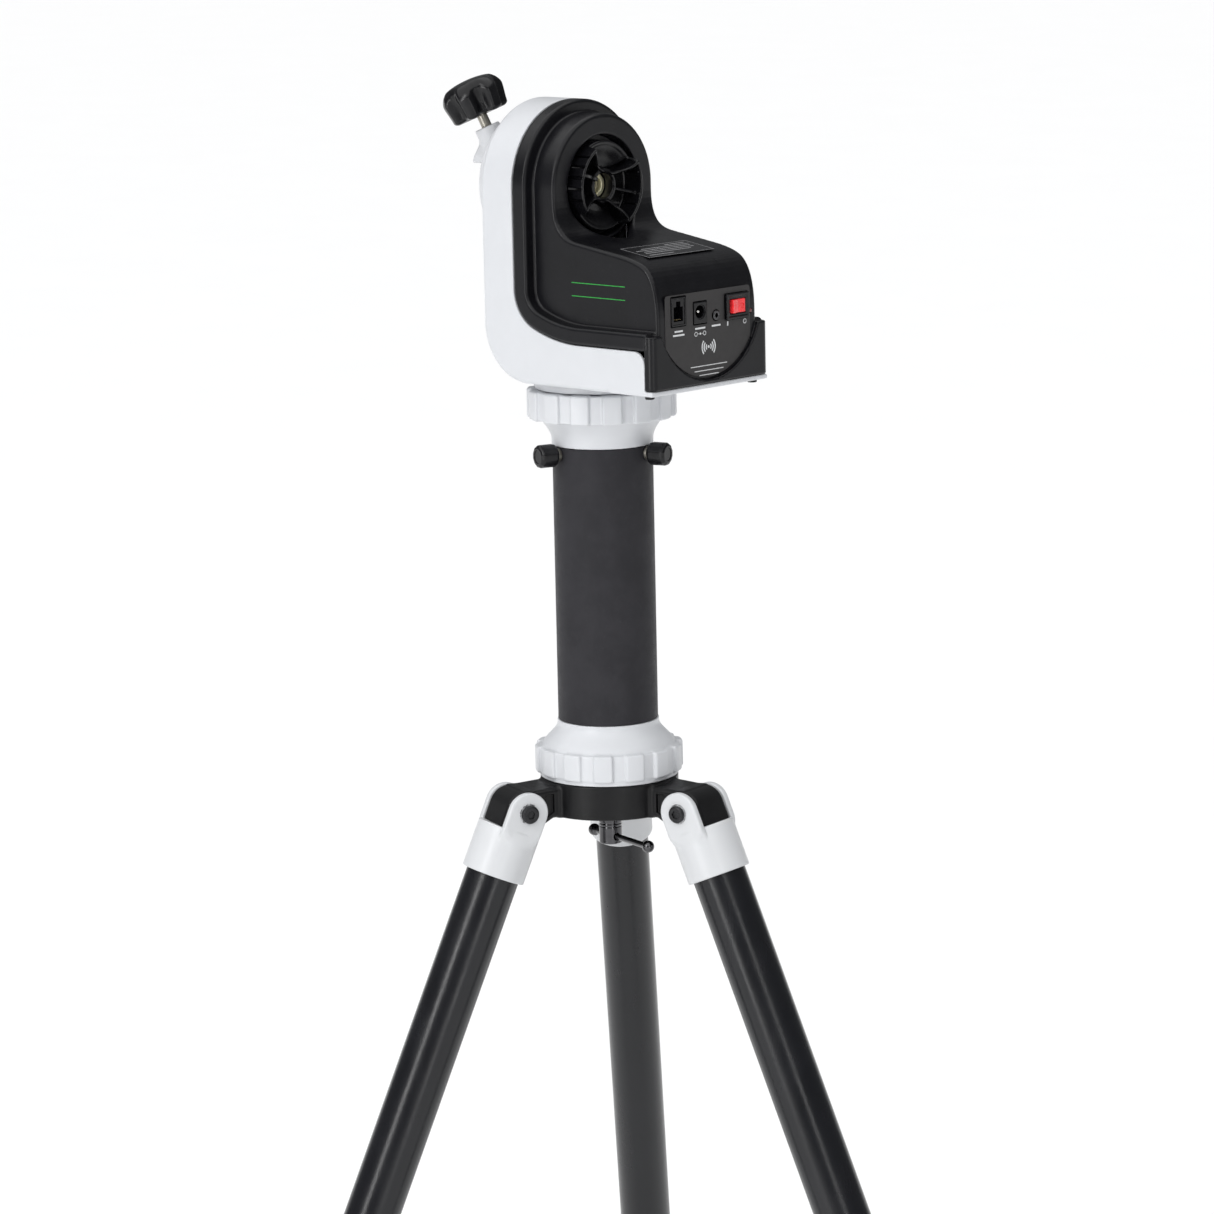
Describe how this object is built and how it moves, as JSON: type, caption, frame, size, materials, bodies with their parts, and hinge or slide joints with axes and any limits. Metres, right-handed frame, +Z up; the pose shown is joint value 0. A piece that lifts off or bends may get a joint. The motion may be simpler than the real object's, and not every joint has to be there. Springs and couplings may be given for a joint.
{
  "type": "altazimuth telescope mount",
  "caption": "Motorised altazimuth telescope mount head with a dovetail saddle, on a round extension pillar and a folding tripod with telescoping legs.",
  "frame": {"origin": "centre of the whole object's box, on the floor under the tripod; the upright azimuth axis stands at x -0.0579, y 0.0234", "axes": "+Z up along the pillar; +X from the dovetail saddle towards the control panel and clutch knob, along the altitude axis; +Y completes the right-handed frame"},
  "size_m": [0.5454, 0.5778, 1.0604],
  "materials": {
    "white_plastic": "smooth moulded, semi-gloss white",
    "black_plastic": "fine-grained satin black",
    "pillar_coat": "fine-textured charcoal powder coat",
    "hub_coat": "satin black paint on a casting",
    "leg_coat": "satin black anodised tube",
    "saddle_coat": "white paint on a machined block",
    "bare_aluminium": "bare machined",
    "steel": "turned steel",
    "dark_chrome": "black chrome, glossy",
    "brass": "turned brass",
    "switch_red": "glossy red",
    "circuit_green": "printed circuit board",
    "rubber": "moulded rubber"
  },
  "bodies": {
    "tripod": {"tripod_hub": "hub_coat", "pillar_lower_collar": "white_plastic", "pillar_tube": "pillar_coat", "pillar_upper_collar": "white_plastic", "head_bolt": "steel", "azimuth_base": "white_plastic", "azimuth_spindle": "steel", "azimuth_worm_wheel": "brass", "leg_1_pivot_bolt": "dark_chrome", "leg_2_pivot_bolt": "dark_chrome", "leg_3_pivot_bolt": "dark_chrome"},
    "head": {"rear_shell": "white_plastic", "front_cover": "black_plastic", "inner_frame": "bare_aluminium", "azimuth_bearing": "bare_aluminium", "altitude_bearing_front": "bare_aluminium", "altitude_bearing_rear": "bare_aluminium", "altitude_motor": "steel", "azimuth_motor": "steel", "control_board": "circuit_green", "battery_case": "black_plastic", "hand_control_socket": "black_plastic", "power_socket": "black_plastic", "snap_socket": "brass", "switch_body": "black_plastic"},
    "altitude_axis": {"altitude_shaft": "steel", "altitude_worm_wheel": "brass", "clutch_sleeve": "brass", "saddle": "saddle_coat"},
    "clutch": {"clutch_knob": "black_plastic"},
    "jaw": {"saddle_jaw": "bare_aluminium"},
    "saddle_lock": {"saddle_screw": "steel", "saddle_knob": "black_plastic"},
    "altitude_drive": {"altitude_worm": "steel"},
    "azimuth_drive": {"azimuth_worm": "steel"},
    "power_rocker": {"rocker": "switch_red"},
    "tripod_bolt": {"clamp_bolt": "dark_chrome"},
    "bolt_handle": {"tommy_bar": "dark_chrome"},
    "leg_1": {"leg_1_clevis": "white_plastic", "leg_1_upper_tube": "leg_coat", "leg_1_clamp": "white_plastic"},
    "leg_1_lower": {"leg_1_lower_tube": "leg_coat", "leg_1_foot": "rubber"},
    "leg_1_lock": {"leg_1_clamp_screw": "black_plastic"},
    "pillar_lock_1": {"pillar_thumbscrew_1": "black_plastic"},
    "leg_2": {"leg_2_clevis": "white_plastic", "leg_2_upper_tube": "leg_coat", "leg_2_clamp": "white_plastic"},
    "leg_2_lower": {"leg_2_lower_tube": "leg_coat", "leg_2_foot": "rubber"},
    "leg_2_lock": {"leg_2_clamp_screw": "black_plastic"},
    "pillar_lock_2": {"pillar_thumbscrew_2": "black_plastic"},
    "leg_3": {"leg_3_clevis": "white_plastic", "leg_3_upper_tube": "leg_coat", "leg_3_clamp": "white_plastic"},
    "leg_3_lower": {"leg_3_lower_tube": "leg_coat", "leg_3_foot": "rubber"},
    "leg_3_lock": {"leg_3_clamp_screw": "black_plastic"},
    "pillar_lock_3": {"pillar_thumbscrew_3": "black_plastic"}
  },
  "joints": [
    {"name": "azimuth", "type": "hinge", "parent": "tripod", "child": "head", "pos_m": [-0.05789, 0.02337, 0.8668], "axis": [0, 0, 1], "continuous": true},
    {"name": "altitude", "type": "hinge", "parent": "head", "child": "altitude_axis", "pos_m": [-0.11789, 0.02337, 0.9898], "axis": [1, 0, 0], "continuous": true},
    {"name": "clutch_turn", "type": "hinge", "parent": "altitude_axis", "child": "clutch", "pos_m": [-0.04389, 0.02337, 0.9898], "axis": [1, 0, 0], "range_deg": [0, 75]},
    {"name": "saddle_jaw_travel", "type": "slide", "parent": "altitude_axis", "child": "jaw", "axis": [0.3256, 0.2287, -0.9174], "range_m": [0, 0.0035]},
    {"name": "saddle_knob_turn", "type": "hinge", "parent": "jaw", "child": "saddle_lock", "pos_m": [-0.13239, -0.00008, 1.026], "axis": [0.3256, 0.2287, -0.9174], "range_deg": [0, 1008]},
    {"name": "altitude_worm_spin", "type": "hinge", "parent": "head", "child": "altitude_drive", "pos_m": [-0.08519, 0.02337, 0.9595], "axis": [0, 1, 0], "continuous": true},
    {"name": "azimuth_worm_spin", "type": "hinge", "parent": "head", "child": "azimuth_drive", "pos_m": [-0.05789, 0.05367, 0.8908], "axis": [1, 0, 0], "continuous": true},
    {"name": "power_switch", "type": "hinge", "parent": "head", "child": "power_rocker", "pos_m": [0.03391, 0.04997, 0.9162], "axis": [0, 0, 1], "range_deg": [-16, 0]},
    {"name": "tripod_bolt_turn", "type": "hinge", "parent": "tripod", "child": "tripod_bolt", "pos_m": [-0.05789, 0.02337, 0.5644], "axis": [0, 0, 1], "range_deg": [0, 1620]},
    {"name": "bolt_handle_slide", "type": "slide", "parent": "tripod_bolt", "child": "bolt_handle", "axis": [0.9763, -0.2164, 0], "range_m": [-0.031, 0.007]},
    {"name": "leg_1_fold", "type": "hinge", "parent": "tripod", "child": "leg_1", "pos_m": [0.00837, 0.03327, 0.59], "axis": [-0.1478, 0.989, 0], "range_deg": [0, 20]},
    {"name": "leg_1_extend", "type": "slide", "parent": "leg_1", "child": "leg_1_lower", "axis": [0.3864, 0.0578, -0.9205], "range_m": [0, 0.36]},
    {"name": "leg_1_lock_turn", "type": "hinge", "parent": "leg_1", "child": "leg_1_lock", "pos_m": [0.20159, 0.06215, 0.12975], "axis": [0.9104, 0.1361, 0.3907], "range_deg": [0, 540]},
    {"name": "pillar_lock_1_turn", "type": "hinge", "parent": "tripod", "child": "pillar_lock_1", "pos_m": [-0.019, 0.03271, 0.819], "axis": [0.9724, 0.2334, 0], "range_deg": [0, 690]},
    {"name": "leg_2_fold", "type": "hinge", "parent": "tripod", "child": "leg_2", "pos_m": [-0.0996, 0.0758, 0.59], "axis": [-0.7826, -0.6225, 0], "range_deg": [0, 20]},
    {"name": "leg_2_extend", "type": "slide", "parent": "leg_2", "child": "leg_2_lower", "axis": [-0.2432, 0.3058, -0.9205], "range_m": [0, 0.36]},
    {"name": "leg_2_lock_turn", "type": "hinge", "parent": "leg_2", "child": "leg_2_lock", "pos_m": [-0.22122, 0.2287, 0.12975], "axis": [-0.573, 0.7204, 0.3907], "range_deg": [0, 540]},
    {"name": "pillar_lock_2_turn", "type": "hinge", "parent": "tripod", "child": "pillar_lock_2", "pos_m": [-0.08543, 0.05239, 0.819], "axis": [-0.6884, 0.7254, 0], "range_deg": [0, 690]},
    {"name": "leg_3_fold", "type": "hinge", "parent": "tripod", "child": "leg_3", "pos_m": [-0.08245, -0.03897, 0.59], "axis": [0.9304, -0.3665, 0], "range_deg": [0, 20]},
    {"name": "leg_3_extend", "type": "slide", "parent": "leg_3", "child": "leg_3_lower", "axis": [-0.1432, -0.3635, -0.9205], "range_m": [0, 0.36]},
    {"name": "leg_3_lock_turn", "type": "hinge", "parent": "leg_3", "child": "leg_3_lock", "pos_m": [-0.15405, -0.22074, 0.12975], "axis": [-0.3374, -0.8565, 0.3907], "range_deg": [0, 540]},
    {"name": "pillar_lock_3_turn", "type": "hinge", "parent": "tripod", "child": "pillar_lock_3", "pos_m": [-0.06925, -0.01498, 0.819], "axis": [-0.284, -0.9588, 0], "range_deg": [0, 690]}
  ],
  "couplings": [
    {"joint": "saddle_knob_turn", "follows": "saddle_jaw_travel", "rad_per_m": 5026.5},
    {"joint": "altitude_worm_spin", "follows": "altitude", "ratio": 30},
    {"joint": "azimuth_worm_spin", "follows": "azimuth", "ratio": 30}
  ]
}
